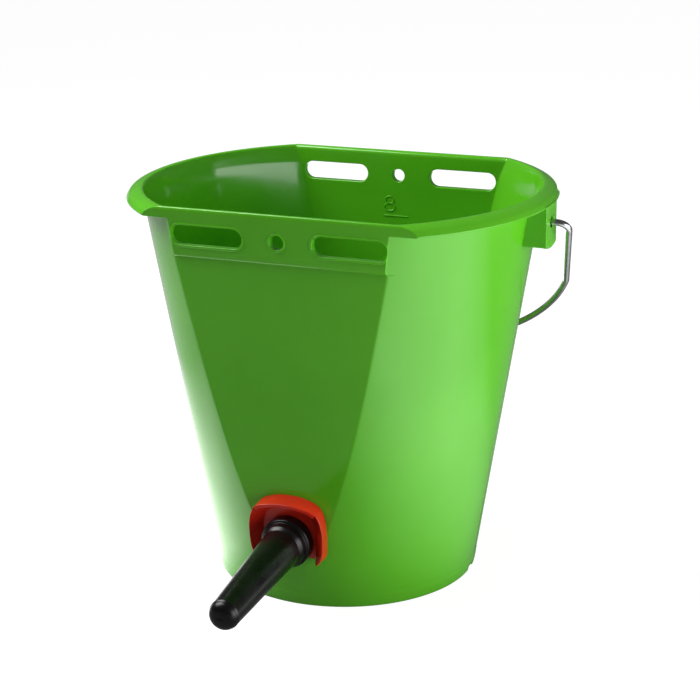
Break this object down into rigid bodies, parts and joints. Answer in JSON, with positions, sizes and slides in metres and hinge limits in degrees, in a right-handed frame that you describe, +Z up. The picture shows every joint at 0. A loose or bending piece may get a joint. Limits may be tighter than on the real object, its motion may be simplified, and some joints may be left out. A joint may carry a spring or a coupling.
{
  "type": "teat feeding bucket",
  "caption": "Tapered feeding bucket with flat front and rear, slotted hanging strips, a swinging wire bail and a rubber teat on a clipped-in ball valve low at the front.",
  "frame": {"origin": "on the floor, under the middle of the whole object's footprint, so the bucket's own axis is at y = 0.0477 m", "axes": "+Z up; the teat points along -Y; the bail's pivots are at +X and -X"},
  "size_m": [0.3226, 0.3249, 0.2776],
  "materials": {
    "green_plastic": "injection-moulded polypropylene, glossy, slightly wavy",
    "zinc_wire": "bright zinc-plated drawn wire",
    "valve_plastic": "dark grey moulded plastic",
    "seal_rubber": "matte black rubber",
    "ball_plastic": "smooth white plastic",
    "teat_rubber": "smooth black rubber with a soft gloss",
    "red_plastic": "red moulded plastic, satin"
  },
  "bodies": {
    "bucket": {"bucket_wall": "green_plastic", "bucket_floor": "green_plastic", "front_strip": "green_plastic", "rear_strip": "green_plastic", "right_rim": "green_plastic", "left_rim": "green_plastic", "right_ear": "green_plastic", "left_ear": "green_plastic", "valve_body": "valve_plastic", "valve_seal": "seal_rubber", "valve_cap": "valve_plastic", "teat": "teat_rubber"},
    "bail": {"bail_handle": "zinc_wire"},
    "clip": {"retaining_clip": "red_plastic"},
    "ball": {"valve_ball": "ball_plastic"}
  },
  "joints": [
    {"name": "bail_hinge", "type": "hinge", "parent": "bucket", "child": "bail", "pos_m": [0, 0.04775, 0.2598], "axis": [1, 0, 0], "range_deg": [0, 275]},
    {"name": "clip_slide", "type": "slide", "parent": "bucket", "child": "clip", "axis": [0, -0.0579, 0.9983], "range_m": [0, 0.04]},
    {"name": "ball_slide", "type": "slide", "parent": "bucket", "child": "ball", "axis": [0, 0.9983, 0.0579], "range_m": [0, 0.008]}
  ]
}
